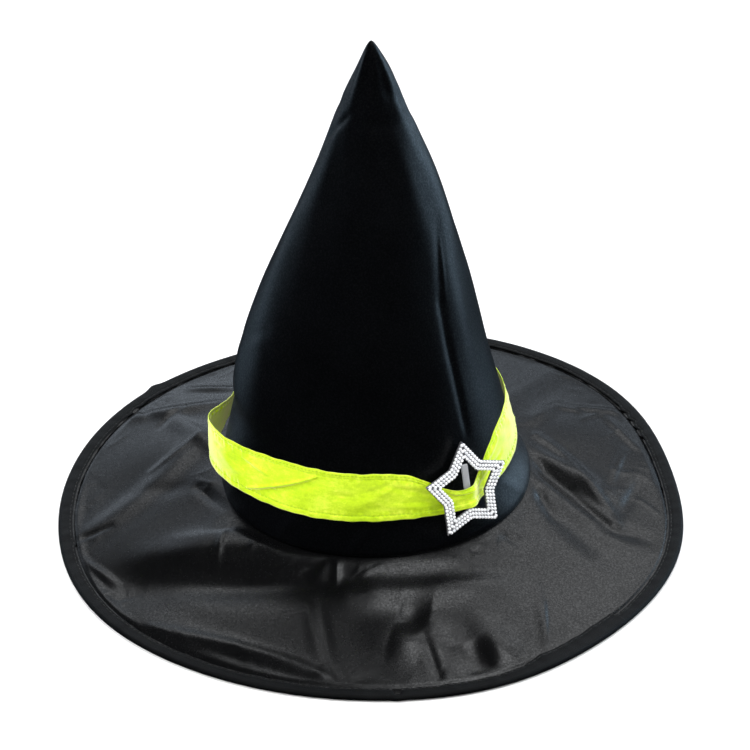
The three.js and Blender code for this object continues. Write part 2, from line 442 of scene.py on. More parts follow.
def shell(name, outside, thickness, wraps=True):
    """A cloth whose outer face is the grid `outside`, in metres."""
    rows, columns = outside.shape[:2]
    inside = outside - grid_normals(outside, wraps) * thickness
    points = np.concatenate([outside.reshape(-1, 3), inside.reshape(-1, 3)])
    count = rows * columns
    face = quads_of(rows, columns, wraps)
    column = np.arange(columns - (not wraps))
    after = (column + 1) % columns
    low = np.stack([after, column, column + count, after + count], -1)
    last = (rows - 1) * columns
    high = np.stack([column, after, after + count, column + count], -1) + last
    parts = [face, face[:, ::-1] + count, low, high]
    if not wraps:
        row = np.arange(rows - 1) * columns
        start = np.stack([row, row + columns, row + columns + count, row + count], -1)
        parts += [start, start[:, ::-1] + columns - 1]
    quads = np.concatenate(parts)
    uv = cloth_uv(outside, quads % count, columns)
    return mesh_object(name, points, quads, uv)


print("cloth helpers", [helper.__name__ for helper in (mesh_object, cloth_uv, shell)])

# %% [markdown]
# ## Folds
# A fold is a soft crest or a soft hollow along a short line. It is widest in its middle
# and dies away at both ends, and one side may be steeper than the other, as where cloth
# hangs over itself. Folds could be painted as bumps in the material, but shiny cloth shows
# every one of them by what it mirrors, so they are moved in the mesh. Wrinkles are many
# small folds, scattered with a fixed seed.

# %% Shape one fold
def fold(x, y, start, end, width, rise=0.0, bank=0.0, bow=0.0):
    """Height of one fold at (x, y), all in millimetres, for a line from start to end.

    `rise` makes a crest and `bank` a slope that is higher on the line's right-hand side.
    `bow` pushes the middle of the line to its right.
    """
    run = np.subtract(end, start)
    length = math.hypot(*run)
    along = ((x - start[0]) * run[0] + (y - start[1]) * run[1]) / length
    aside = ((x - start[0]) * run[1] - (y - start[1]) * run[0]) / length
    share = np.clip(along / length, 0, 1)
    beyond = np.maximum(np.abs(along - length / 2) - length / 2, 0)
    taper = np.sin(np.pi * (0.12 + 0.76 * share)) ** 0.8 * np.exp(-((beyond / width) ** 2))
    side = (aside - bow * 4 * share * (1 - share)) / width
    return taper * np.exp(-side * side) * (rise + bank * side)


def polar_fold(angle, radius, start, end, **shape):
    """A fold whose ends are given as (degrees round the hat, millimetres from its axis)."""
    turn = np.radians(angle)
    ends = [(out * math.sin(math.radians(at)), -out * math.cos(math.radians(at)))
            for at, out in (start, end)]
    return fold(radius * np.sin(turn), -radius * np.cos(turn), *ends, **shape)


def count_fold(*ends, **shape):
    """Stands in for a fold when a list of folds is only counted."""
    return 1


one_fold = float(fold(0, 0, (-9, 0), (9, 0), 2, rise=1))
print("a fold with a rise of 1 is", round(one_fold, 2), "mm high in its middle")

# %% [markdown]
# ## Brim
# The brim is two rounds of thin satin with a felt between them, cut flat and pulled a
# little smaller at the crown, so it slopes and can't lie smooth. Loose cloth between two
# sewn edges makes broad banks near the crown, and short gathers wherever the stitching
# drew it in. Three layers wrinkled one by one would cut through each other, so one
# function gives the height of the brim's middle, and every layer is lifted from it.

# %% Size the brim
RIM_AT = RIM_RADIUS / MM
RIM_MIDDLE = RIM_TOP / MM / 2
TAPE_WIDTH = 8.5
TAPE_INNER = RIM_AT - TAPE_WIDTH
BRIM_CUT = RIM_AT - 3.5
SLOPE_FOOT = RIM_AT - 9
SLOPE_RISE = 20.5
SEAM_AT = SEAM_RADIUS / MM
SEAM_SADDLE = 1.5
HOLE_AT = SEAM_AT - 2.7
CROWN_FOOT_SHIFT = 3.6
chance = random.Random(31)


def rim_wander(angle):
    """How far the wired rim strays from a true round, in millimetres."""
    return (-2.8 * round_hump(angle, -87, 69) + 4.0 * round_hump(angle, -57, 23)
            + 3.7 * round_hump(angle, 20, 19) + 3.6 * round_hump(angle, 82, 57)
            - 9.4 * round_hump(angle, 96, 24) - 5.2 * round_hump(angle, -158, 23))


print("brim from", round(HOLE_AT, 1), "to", round(BRIM_CUT, 1), "mm out, under tape from", TAPE_INNER)

# %% Lay the folds in front
def front_folds(add):
    return [
        # Front left: the cloth drops steeply away from the crown, then lies flat.
        add((-60, 148), (-18, 99), width=17, bank=-9.6),
        add((-57, 106), (-49, 122), width=2.4, rise=0.8, bank=0.5),
        add((-66, 128), (-50, 100), width=6, rise=0.8),
        # A long soft crest runs out to the rim in front, with a hollow between it and the tape.
        add((-45, 179), (-10, 176), width=5.5, rise=1.0, bank=-2.2),
        add((-60, 166), (-36, 160), width=12, rise=-1.0),
        # The front pleat, drawn in at the seam, and a long low edge that starts beyond it.
        add((-15.5, 92), (-13, 109), width=2.2, rise=1.0, bank=-0.8),
        add((-17, 93), (-24, 104), width=2.6, rise=-0.7),
        add((-17, 126), (-9, 172), width=4.5, bank=1.5),
        add((-12, 96), (-4, 118), width=6, rise=-0.9),
        # Front right: a bank below the buckle and two drop-shaped hollows towards the rim.
        add((-8, 110), (33, 120), width=10, bank=3.6, bow=4),
        add((4, 137), (11, 143), width=15, bank=8.0),
        add((9, 132), (10, 152), width=10, bank=-3.0),
        add((10, 152), (11, 182), width=3, rise=-1.0, bank=0.8),
        add((21, 154), (22, 176), width=12.5, bank=-6.4),
        add((41, 137), (31, 184), width=4, rise=0.9, bank=-0.9),
        add((40, 150), (31, 184), width=2.2, rise=-0.6, bank=0.7),
        add((31, 96), (47, 100), width=4, rise=0.8, bank=-0.6),
    ]


print("front folds", len(front_folds(count_fold)))

# %% Lay the folds on the right
def right_folds(add):
    return [
        # Right: a deep pleat that starts at the seam, with a soft crest behind it.
        add((94, 92), (74, 138), width=7, rise=-4.4, bank=2.4),
        add((101, 96), (84, 140), width=8, rise=2.6),
        add((81, 120), (72, 151), width=4, rise=1.4, bank=-1.2),
        add((80, 95), (67, 114), width=4, rise=-1.6, bank=-0.8),
        # Behind it: one crease that doubles back, and a row of small ones near the rim.
        add((110, 108), (94, 124), width=4.5, rise=1.5, bank=1.5),
        add((94, 122), (75, 150), width=5, rise=1.3, bank=1.3),
        add((118, 114), (125, 146), width=6, rise=1.5, bank=-1.8),
        add((124, 146), (118, 182), width=5, rise=1.2, bank=1.3),
        add((116, 164), (103, 171), width=4, rise=1.0, bank=-1.0),
        add((102, 163), (89, 146), width=4, rise=1.0, bank=1.2),
        add((91, 164), (79, 151), width=4.5, rise=-1.1, bank=1.0),
        add((70, 137), (71, 168), width=7, rise=-1.0, bank=0.8),
        add((46, 96), (50, 108), width=4, rise=-0.9),
        add((72, 106), (60, 150), width=12, rise=-2.4, bank=1.6),
    ]


print("right folds", len(right_folds(count_fold)))

# %% Lay the folds on the left and at the back
def left_folds(add):
    return [
        # Left: creases that fan out from the crown under the slack of the ribbon.
        add((-120, 114), (-78, 178), width=10, rise=1.8, bank=1.5, bow=-8),
        add((-114, 118), (-99, 137), width=3, rise=0.7, bank=-0.7),
        add((-108, 98), (-124, 150), width=7, rise=2.0, bank=-1.8),
        add((-86, 106), (-70, 95), width=3.4, rise=-1.6),
        add((-88, 110), (-90, 140), width=7, rise=-0.8),
        add((-76, 184), (-62, 168), width=3, rise=0.7, bank=0.8),
        add((-78, 186), (-80, 160), width=2.4, rise=-1.1),
        add((-126, 186), (-122, 164), width=2.6, rise=-1.0),
        # Back left: three short facets, one behind the other.
        add((-122, 176), (-134, 132), width=7, rise=1.8, bank=2.0),
        add((-136, 168), (-141, 138), width=5, rise=1.4, bank=-1.6),
        add((-118, 150), (-128, 150), width=3, rise=-0.8),
        # Back right and back.
        add((130, 112), (138, 180), width=10, rise=2.6, bank=-2.4),
        add((168, 104), (176, 170), width=11, rise=1.3),
        add((-160, 108), (-164, 176), width=10, rise=1.1),
    ]


def brim_folds(angle, radius):
    def add(start, end, **shape):
        return polar_fold(angle, radius, start, end, **shape)

    return sum(front_folds(add) + right_folds(add) + left_folds(add))


print("left folds", len(left_folds(count_fold)))

# %% Scatter the small gathers
def scattered_gathers(angle, radius, count, angles, lengths, radii, rise):
    """Short creases that run outwards, at random angles within a range."""
    height = np.zeros_like(radius)
    for _ in range(count):
        at = chance.uniform(*angles)
        inner = chance.uniform(*radii)
        length = chance.uniform(*lengths)
        slant = chance.uniform(-7, 7)
        width = chance.uniform(1.4, 3.6)
        size = rise * chance.uniform(0.5, 1.1) * chance.choice((1, 1, -1))
        height += polar_fold(angle, radius, (at, inner), (at + slant, inner + length),
                             width=width, rise=size, bank=size * chance.uniform(-1, 1),
                             bow=chance.uniform(-2, 2))
    return height


def round_waves(angle, along, waves):
    """Waves that run round a piece: each is (how many, lean in radians a millimetre, size)."""
    height = np.zeros_like(along)
    for number, lean, size in waves:
        start = chance.uniform(0, 2 * math.pi)
        height += size * np.sin(number * np.radians(angle) + lean * along + start)
    return height


print("gathers and waves draw from one seeded generator")

# %% Raise the brim's middle surface
brim_rows = np.linspace(BRIM_CUT, HOLE_AT, 124)
brim_columns = np.linspace(-180, 180, 720, endpoint=False)
brim_angle, brim_radius = np.meshgrid(brim_columns, brim_rows)


def brim_middle():
    inward = np.clip((SLOPE_FOOT - brim_radius) / (SLOPE_FOOT - SEAM_AT), 0, 1.05)
    height = RIM_MIDDLE + SLOPE_RISE * inward ** 1.12
    height += SEAM_SADDLE * np.cos(2 * np.radians(brim_angle)) * inward ** 2
    off_seam = smooth(brim_radius, HOLE_AT, SEAM_AT + 9)
    off_tape = 1 - smooth(brim_radius, SLOPE_FOOT - 7, SLOPE_FOOT)
    wrinkles = scattered_gathers(brim_angle, brim_radius, 8, (84, 124), (10, 24), (140, 160), 0.5)
    wrinkles += scattered_gathers(brim_angle, brim_radius, 60, (-180, 180), (6, 16), (164, 172), 0.22)
    wrinkles += scattered_gathers(brim_angle, brim_radius, 40, (-180, 180), (6, 16), (95, 99), 0.3)
    waves = ((3, 0.02, 0.7), (5, -0.03, 0.6), (8, 0.05, 0.42), (13, -0.06, 0.26))
    broad = round_waves(brim_angle, brim_radius, waves)
    folds = brim_folds(brim_angle, brim_radius)
    drawn_under_tape = 1.0 * hump(brim_radius, TAPE_INNER - 0.8, 1.3)
    return height + off_seam * off_tape * (folds + wrinkles + broad) - drawn_under_tape


brim_height = brim_middle()
print("brim middle from", round(brim_height.min(), 2), "to", round(brim_height.max(), 2), "mm up")

# %% Lay the brim's three cloths
BRIM_FELT = 0.7
THIN_SATIN = 0.3
LAYER_GAP = 0.2


def brim_grid(lift):
    """One face of the brim, `lift` millimetres above its middle."""
    inward = np.clip((SLOPE_FOOT - brim_radius) / (SLOPE_FOOT - HOLE_AT), 0, 1)
    outward = smooth(brim_radius, 110, RIM_AT)
    radius = brim_radius + rim_wander(brim_angle) * outward
    grid = spot_at(brim_angle, radius, brim_height + lift)
    grid[..., 0] += CROWN_FOOT_SHIFT * inward * MM
    return grid


brim_top = shell("brim_top", brim_grid(BRIM_FELT / 2 + LAYER_GAP + THIN_SATIN), THIN_SATIN * MM)
brim_felt = shell("brim_felt", brim_grid(BRIM_FELT / 2), BRIM_FELT * MM)
brim_under = shell("brim_under", brim_grid(-BRIM_FELT / 2 - LAYER_GAP), THIN_SATIN * MM)
print("brim of", len(brim_top.data.polygons), "faces a layer")

# %% [markdown]
# ## Crown
# The crown is one piece of satin, rolled into a cone over a felt and closed by a seam at
# the back. A plain cone would be too stiff and even: the real one swells below the middle,
# leans towards its tip, and is drawn in where the ribbon goes round. So its radius and its
# middle line are formulas of the height. Its folds are few and shallow, and are given in
# millimetres on the unrolled cone.

# %% Shape the crown's outline
CROWN_TALL = (CROWN_TOP - SEAM_HEIGHT) / MM
FOOT_AT = SEAM_HEIGHT / MM
TOP_AT = CROWN_TOP / MM


def crown_radius(height):
    up = (height - FOOT_AT) / CROWN_TALL
    drawn_in = smooth(height, FOOT_AT, FOOT_AT + 22) * (1 - smooth(height, 100, 160))
    cone = SEAM_AT * (1 - up) * (1 + 0.42 * up) - 2.4 * drawn_in
    blunt = 1.9 * smooth(height, 240, 300) * np.maximum(TOP_AT - height, 0)
    return np.sqrt(np.maximum(cone, 0) ** 2 + blunt)


def crown_middle(height):
    foot = 1 - smooth(height, FOOT_AT, FOOT_AT + 20)
    hook = hump(height, 290, 14)
    return CROWN_FOOT_SHIFT * foot + 7.5 * smooth(height, 130, 240) + 0.8 * hook


print("crown", round(float(crown_radius(FOOT_AT)), 1), "mm out at its foot,",
      round(float(crown_radius(160.0)), 1), "mm half way up")

# %% Lay the crown's folds
def crown_fold(angle, height, start, end, **shape):
    """A fold whose ends are given as (degrees round the crown, height)."""
    def unrolled(at, up):
        return np.radians(at) * crown_radius(up), up

    return fold(*unrolled(angle, height), unrolled(*start), unrolled(*end), **shape)


def folds_above_ribbon(add, angle, height):
    return [
        # Above the ribbon on the right: one long pleat that stands up from the band.
        add((46.5, 74), (46, 164), width=2.8, rise=-1.3),
        add((46, 160), (58, 204), width=4.4, rise=-0.9),
        add((50, 164), (57, 196), width=1.8, rise=0.5),
        add((34, 84), (38, 158), width=9, rise=0.8),
        add((60, 96), (64, 190), width=10, rise=0.7),
        # On the left: a bulge above the slack of the ribbon, with a crease over it.
        4.6 * round_hump(angle, -88, 44) * hump(height, 106, 31),
        add((-60, 141), (-96, 112), width=4, rise=-0.35, bank=-0.7),
        add((-62, 142), (-50, 84), width=6, rise=-0.35, bow=-6),
        add((-74, 196), (-92, 176), width=4, rise=-0.25),
        # A crease and a dent under the tip.
        add((-92, 248), (-40, 273), width=2.2, rise=-0.9, bank=-0.6),
        add((20, 286), (90, 268), width=4, rise=-0.8),
        add((-150, 270), (150, 262), width=4, rise=-0.6),
        # Back: soft dents either side of the seam.
        add((150, 120), (138, 210), width=11, rise=-1.2),
        add((-140, 96), (-152, 190), width=12, rise=-1.1),
        add((112, 90), (104, 180), width=9, rise=0.9),
    ]


def folds_below_ribbon(add):
    return [
        # Below the ribbon: slanting pulls at the sewn edge.
        add((-38, 29), (-28, 46), width=2.2, rise=1.1),
        add((-11, 27), (0, 43), width=2.0, rise=1.0),
        add((24, 28), (15, 40), width=3, rise=0.6),
        add((70, 28), (60, 44), width=3, rise=0.5),
        add((-74, 26), (-62, 44), width=3.4, rise=0.6),
        add((128, 28), (118, 44), width=3, rise=0.5),
        add((-130, 28), (-142, 44), width=3, rise=0.5),
    ]


def crown_folds(angle, height):
    def add(start, end, **shape):
        return crown_fold(angle, height, start, end, **shape)

    above = smooth(height, 74, 92)
    below = 1 - smooth(height, 38, 48)
    rise = sum(folds_above_ribbon(add, angle, height))
    return rise * above * smooth(TOP_AT - height, 0, 16) + sum(folds_below_ribbon(add)) * below


print("crown folds", len(folds_above_ribbon(count_fold, 0, 0)) + len(folds_below_ribbon(count_fold)))

# %% Lay out the crown's cloth
crown_columns = np.linspace(-180, 180, 600, endpoint=False)
crown_angle, crown_share = np.meshgrid(crown_columns, np.linspace(0, 1, 190))
crown_height = TOP_AT - CROWN_TALL * (1 - crown_share) ** 1.4


def back_seam(angle, height):
    """A narrow groove with a raised allowance beside it, where the cone was closed."""
    across = np.radians(off_angle(angle, 180)) * crown_radius(height)
    return -0.5 * hump(across, 0, 0.9) + 0.35 * hump(across, 4, 3.4)


def crown_grid(depth):
    """One layer of the crown, `depth` millimetres in from its outside."""
    folds = crown_folds(crown_angle, crown_height)
    waves = ((4, 0.03, 0.35), (7, -0.04, 0.28), (11, 0.06, 0.16))
    ripple = round_waves(crown_angle, crown_height, waves)
    loose = 0.35 + 0.65 * smooth(crown_height, 80, 120)
    taper = smooth(TOP_AT - crown_height, 0, 26)
    turned_under = 1.1 * (1 - smooth(crown_height, FOOT_AT, FOOT_AT + 2.2)) ** 2
    radius = crown_radius(crown_height) + folds + ripple * loose * taper - turned_under
    radius += back_seam(crown_angle, crown_height) * smooth(TOP_AT - crown_height, 0, 30)
    radius = np.maximum(radius - depth * 1.05, 0.06)
    at_foot = 1 - smooth(crown_height, FOOT_AT, FOOT_AT + 30)
    height = crown_height + (SEAM_SADDLE * np.cos(2 * np.radians(crown_angle)) - 0.5) * at_foot
    height -= depth * 0.9 * smooth(crown_height, 200, TOP_AT) * (radius < 12)
    grid = spot_at(crown_angle, radius, height)
    grid[..., 0] += crown_middle(crown_height) * MM
    return grid


print("crown grid of", crown_height.shape[0], "rows and", crown_height.shape[1], "columns")

# %% Roll the satin and the felt
CROWN_SATIN = 0.5
CROWN_FELT = 1.0
same_ripple = chance.getstate()
crown = shell("crown", crown_grid(0), CROWN_SATIN * MM)
chance.setstate(same_ripple)
crown_felt = shell("crown_felt", crown_grid(CROWN_SATIN + 0.3), CROWN_FELT * MM)
print("crown of", len(crown.data.polygons), "faces")

# %% [markdown]
# ## Rim
# The rim is edged with a twill tape, folded over it and stitched through near the tape's
# inner edge. A ring with a round section would look like piping, so the tape's own flat
# section is carried round instead, from its edge below, over the outside, to its edge
# above. The tape is cut straight, so going round a curve it puckers on the inside. Its two
# ends lap at the front right, where the last stitch left a loose end of thread.

# %% Fold the tape's section
LAP_START, LAP_END = 28, 48
NICK_AT, PLEAT_AT = 3.5, -78
TAPE_DEEP = 3.9
TAPE_SECTION = [(0, 0.55), (2.5, 0.1), (5.2, 0.0), (6.9, 0.25), (8.0, 0.95), (TAPE_WIDTH, 1.95),
                (8.0, 3.0), (6.9, 3.72), (5.2, 3.86), (2.6, 3.62), (0.9, 3.3), (0, 3.02)]


def tape_section(points=44):
    """Millimetres outwards and upwards, at even steps along the section."""
    run = np.concatenate([[0], np.cumsum(np.hypot(*np.diff(TAPE_SECTION, axis=0).T))])
    share = np.linspace(0, run[-1], points)
    return [np.interp(share, run, [spot[axis] for spot in TAPE_SECTION]) for axis in (0, 1)]


print("tape section of", len(tape_section()[0]), "points")

# %% Carry the tape round the rim
def rim_tape_grid():
    columns = np.linspace(-180, 180, 1800, endpoint=False)
    outwards, upwards = tape_section()
    angle, outward = np.meshgrid(columns, outwards)
    upward = np.broadcast_to(upwards[:, None], angle.shape)
    inside = 1 - outward / TAPE_WIDTH
    on_top = smooth(upward, 1.6, 2.6)
    lap = smooth(off_angle(angle, LAP_START), -2.5, 2.5)
    lap = lap * (1 - smooth(off_angle(angle, LAP_END), -0.3, 0.1))
    pucker = round_waves(angle, inside, ((61, 1.4, 0.3), (97, 1.4, 0.24), (143, 1.4, 0.16)))
    drawn = round_hump(angle, 114, 6) * np.sin(np.radians(angle) * 110)
    drawn += 0.8 * round_hump(angle, -125, 3) * np.sin(np.radians(angle) * 90)
    radius = TAPE_INNER + outward - (3.2 * lap + 0.28 * pucker + 1.0 * drawn) * inside * on_top
    radius += rim_wander(angle) + 2.4 * round_hump(angle, -133, 1.6) * (1 - inside)
    radius -= 1.6 * round_hump(angle, PLEAT_AT, 1.1) * inside
    radius += 0.7 * round_hump(angle, NICK_AT, 0.9) * (1 - inside)
    height = upward + on_top * (0.35 * pucker * smooth(inside, 0, 0.5) + 0.45 * lap)
    height -= on_top * 0.28 * hump(outward, 1.5, 0.55)
    nick = hump(off_angle(angle, NICK_AT), 0, 0.55) * smooth(inside, 0.25, 0.6)
    height -= on_top * (2.0 * nick + 0.5 * round_hump(angle, PLEAT_AT, 0.8) * inside)
    height += 0.25 * on_top * np.sin(np.radians(angle) * 23 + 3) * inside
    return spot_at(angle, radius, np.clip(height, 0.0, None) * (RIM_TOP / MM) / TAPE_DEEP)


tape_grid = rim_tape_grid()
rim_tape = shell("rim_tape", tape_grid, 0.4 * MM)
print("rim tape of", len(rim_tape.data.polygons), "faces")

# %% [markdown]
# ## Thread
# A stitch is a short thread that dips into the cloth at both ends. A seam could be one
# long tube with dark dashes painted on it, but light catches each stitch's own hump. So
# one small tube is drawn for each, along a row of the cloth's grid, and all the stitches
# of a seam are one mesh.

# %% Draw tubes along paths
def tube_mesh(name, paths, radius, sides=6):
    """One mesh of many short tubes; each path is an array of points in metres."""
    points, quads = [], []
    for path in paths:
        path = np.asarray(path)
        along = np.gradient(path, axis=0)
        along /= np.linalg.norm(along, axis=1, keepdims=True)
        aside = np.cross(along, (0.3, 0.2, 0.93))
        aside /= np.linalg.norm(aside, axis=1, keepdims=True)
        up = np.cross(along, aside)
        turn = np.arange(sides) * 2 * math.pi / sides
        size = np.full(len(path), radius)
        size[[0, -1]] *= 0.45
        ring = (np.cos(turn)[None, :, None] * aside[:, None] + np.sin(turn)[None, :, None] * up[:, None])
        spots = path[:, None] + ring * size[:, None, None]
        first = sum(len(group) for group in points)
        points.append(spots.reshape(-1, 3))
        quads.append(quads_of(len(path), sides, True, first, flip=True))
        ends = np.arange(sides) + first
        for cap in (ends, (ends + (len(path) - 1) * sides)[::-1]):
            quads.append(np.array([[cap[i], cap[i + 1], cap[(-i - 2) % sides], cap[(-i - 1) % sides]]
                                   for i in range(sides // 2 - 1)]))
    return mesh_object(name, np.concatenate(points), np.concatenate(quads))


print("stitches are tubes of 6 sides")

# %% Cut a seam into stitches
def stitch_paths(line, lift, long, gap):
    """Cuts a line of points into stitches that rise by the vectors `lift` in their middle."""
    step = np.linalg.norm(np.diff(line, axis=0), axis=1)
    run = np.concatenate([[0], np.cumsum(step)])
    arch = np.sin(np.linspace(0, math.pi, 6))[:, None] - 0.55
    paths = []
    for start in np.arange(0, run[-1] - long, long + gap):
        share = np.linspace(start, start + long, 6)
        path = np.stack([np.interp(share, run, line[:, axis]) for axis in range(3)], -1)
        at = np.minimum(np.searchsorted(run, share), len(line) - 1)
        paths.append(path + lift[at] * arch)
    return paths


def sew_round(name, grid, row, long=2.6, gap=0.7, thread=0.2):
    """Stitches along one row of a cloth's grid; lengths in millimetres."""
    normals = grid_normals(grid, True)[row]
    line = np.concatenate([grid[row], grid[row][:1]])
    lift = np.concatenate([normals, normals[:1]]) * thread * MM
    return tube_mesh(name, stitch_paths(line, lift, long * MM, gap * MM), thread * MM)


rim_stitches = sew_round("rim_stitches", tape_grid, -4, long=3.0, gap=0.9, thread=0.22)
print("rim stitches", len(rim_stitches.data.polygons), "faces")

# %% Leave a loose end
def thread_tail():
    """The loose end of the rim's thread, curling off the end of the lap."""
    share = np.linspace(0, 1, 26)
    angle = LAP_END + 0.2 + 1.9 * share + 0.35 * np.sin(5 * share)
    radius = TAPE_INNER + 1.2 - 5.0 * share ** 1.5 + rim_wander(np.array(float(LAP_END)))
    height = RIM_TOP / MM + 0.2 + 2.2 * np.sin(math.pi * share) * share
    return tube_mesh("thread_tail", [spot_at(angle, radius, height)], 0.17 * MM)


tail = thread_tail()
print("loose end of", len(tail.data.polygons), "faces")

# %% [markdown]
# ## Wire
# A hoop of spring wire lies in the fold of the tape and holds the brim out. Its two ends
# meet in a short crimped sleeve. The frame has a true round hoop, but a hoop in soft cloth
# is never quite round, and a true one would poke out of the tape. So the same tube that
# makes the stitches is bent along the tape's own line.

# %% Bend the wire
WIRE_RADIUS = 0.6
WIRE_INSET = 2
SLEEVE_WALL = 0.45
SLEEVE_REACH = 3.5
WIRE_JOINT = -123


def wire_arc(name, start, end, radius, count):
    """A round rod inside the rim tape, from one angle to another."""
    angle = np.linspace(start, end, count)
    path = spot_at(angle, RIM_AT - WIRE_INSET + rim_wander(angle), RIM_MIDDLE + 0 * angle)
    return tube_mesh(name, [path], radius * MM, sides=10)


hoop = wire_arc("wire_hoop", WIRE_JOINT + 0.4, WIRE_JOINT + 359.6, WIRE_RADIUS, 720)
sleeve = wire_arc("wire_sleeve", WIRE_JOINT - SLEEVE_REACH, WIRE_JOINT + SLEEVE_REACH,
                  WIRE_RADIUS + SLEEVE_WALL, 24)
print("wire hoop", len(hoop.data.polygons), "faces, sleeve", len(sleeve.data.polygons))

# %% [markdown]
# ## Ribbon
# The ribbon is a satin strip about 30 mm wide with both long edges hemmed. It stands off
# the crown on the wearer's right, where it is slack, and is squeezed to half its width
# where it passes behind one arm of the star, over the bar and behind the other arm. Its
# ends lap at the back. It is drawn directly, edge by edge: simulated cloth of this
# stiffness would only find the same loop again.

# %% Place the ribbon's edges
buckle_spot = joints["buckle_rock"]["pos_m"]
BUCKLE_ANGLE = math.degrees(math.atan2(buckle_spot[0], -buckle_spot[1]))
SLACK_ANGLE = -78
RIBBON_LOW, RIBBON_HIGH = 47.6, 76.3
RIBBON_RADIUS = 87


def ribbon_edges(angle):
    """Radius and height of the ribbon's low and high edges, in millimetres."""
    pinch = round_hump(angle, BUCKLE_ANGLE, 17)
    over_bar = round_hump(angle, BUCKLE_ANGLE, 5)
    lag = off_angle(angle, SLACK_ANGLE)
    slack = hump(lag, 0, np.where(lag > 0, 27, 12))
    behind = 1 - round_hump(angle, BUCKLE_ANGLE, 40)
    dip = round_hump(angle, -109, 18)
    sway = 0.5 * np.sin(3 * np.radians(angle) + 1) + 0.35 * np.sin(7 * np.radians(angle) + 2)
    low = RIBBON_LOW - 4.2 * pinch + 3.2 * over_bar + 0.5 * behind * sway
    high = RIBBON_HIGH - 22.0 * pinch + 4.2 * over_bar - 9.5 * dip - 0.6 * behind * sway
    low_out = crown_radius(low) + 1.9 + 8.6 * slack + 7.0 * over_bar
    high_out = crown_radius(high) + 1.6 + 14.6 * slack + 7.0 * over_bar
    return (low_out, low), (high_out, high)


(_, low_at_buckle), (_, high_at_buckle) = ribbon_edges(BUCKLE_ANGLE)
print("ribbon squeezed to", round(float(high_at_buckle - low_at_buckle), 1), "mm at the buckle")

# %% Crease the ribbon
def ribbon_folds(add):
    return [
        # One sharp pressed crease on the front left, and a short one above it.
        add((-53, 3.5), (-22, 25), width=0.9, rise=1.5),
        add((-51, 1.5), (-20, 22), width=3, rise=-0.7),
        add((-55, 23), (-43, 18), width=1.1, rise=0.8),
        add((-8, 6), (4, 14), width=4, rise=0.6, bank=-0.7),
        add((-4, 20), (6, 12), width=3, rise=-0.5),
        add((-70, 10), (-60, 22), width=5, rise=0.5),
        # The pinch gathers it lengthwise on both sides of the bar.
        add((6, 22), (30, 12), width=2.2, rise=-0.5, bank=-0.6),
        add((8, 9), (32, 6), width=1.8, rise=0.6, bank=0.5),
        add((20, 14), (36, 8), width=1.6, rise=-0.8, bank=0.4),
        add((30, 11), (46, 9.5), width=1.3, rise=0.7, bank=0.4),
        add((32, 5), (44, 4), width=1.4, rise=-0.6),
        add((42, 12), (62, 20), width=1.6, rise=0.7, bank=-0.5),
        add((44, 6), (64, 12), width=1.8, rise=-0.7, bank=0.4),
        add((56, 26), (70, 20), width=2.2, rise=0.5),
        add((74, 24), (92, 8), width=3, rise=0.6, bank=0.5),
        add((118, 6), (132, 22), width=3, rise=0.5, bank=-0.5),
        add((-128, 22), (-112, 9), width=2.6, rise=0.6, bank=0.5),
    ]


def random_crease(add):
    at, up = chance.uniform(-178, 178), chance.uniform(4, 24)
    run, climb = chance.uniform(2, 8), chance.uniform(-8, 8)
    size = chance.choice((-1, 1)) * chance.uniform(0.15, 0.45)
    width = chance.uniform(1.2, 3.4)
    return add((at, up), (at + run, up + climb), width=width, rise=size, bank=size)


def ribbon_creases(angle, across, width):
    """Folds on the ribbon, `across` its width from the low edge, in millimetres."""
    round_it = np.radians(off_angle(angle, 0)) * RIBBON_RADIUS

    def add(start, end, **shape):
        ends = [(math.radians(at) * RIBBON_RADIUS, up) for at, up in (start, end)]
        return fold(round_it, across, *ends, **shape)

    height = sum(ribbon_folds(add) + [random_crease(add) for _ in range(70)])
    free = smooth(across, 0, 2.5) * smooth(width - across, 0, 2.5)
    return height * (0.25 + 0.75 * free)


print("ribbon creases", len(ribbon_folds(count_fold)), "laid and 70 scattered")

# %% Weave the ribbon
RIBBON_CLOTH = 0.45
LAP_AT = 176
HEM = 3.2


def ribbon_grid():
    columns = np.linspace(-180, 180, 1500, endpoint=False)
    angle, share = np.meshgrid(columns, np.linspace(0, 1, 54))
    (low_out, low), (high_out, high) = ribbon_edges(angle)
    radius = low_out + (high_out - low_out) * share
    height = low + (high - low) * share
    flat = spot_at(angle, radius, height)
    normals = grid_normals(flat, True)
    width = np.hypot(high - low, high_out - low_out)
    across = share * width
    edge = np.minimum(across, width - across)
    hem = 1 - smooth(edge, HEM - 0.3, HEM + 0.3)
    pucker = np.zeros_like(angle)
    for waves, size in ((71, 0.5), (113, 0.4), (167, 0.3)):
        start = chance.uniform(0, 2 * math.pi)
        swell = 0.6 + 0.4 * np.sin(5 * np.radians(angle) + start)
        pucker += size * swell * np.sin(waves * np.radians(angle) + start + 0.25 * across)
    out = 0.3 * hem - 0.35 * hump(edge, HEM, 0.4) + 0.45 * pucker * hump(edge, HEM + 0.2, 2.0)
    out += ribbon_creases(angle, across, width)
    past_lap = off_angle(angle, LAP_AT)
    out += 0.9 * smooth(past_lap, -0.25, 0.25) * (1 - smooth(past_lap, 8, 16))
    out += 0.5 * np.sin(share * math.pi) * (1 - 0.7 * round_hump(angle, BUCKLE_ANGLE, 12))
    edge_sway = 0.16 * np.sin(29 * np.radians(angle)) + 0.15 * np.sin(47 * np.radians(angle) + 1)
    flat[..., 2] += edge_sway * (share - 0.5) * 2 * MM
    return flat + normals * out[..., None] * MM


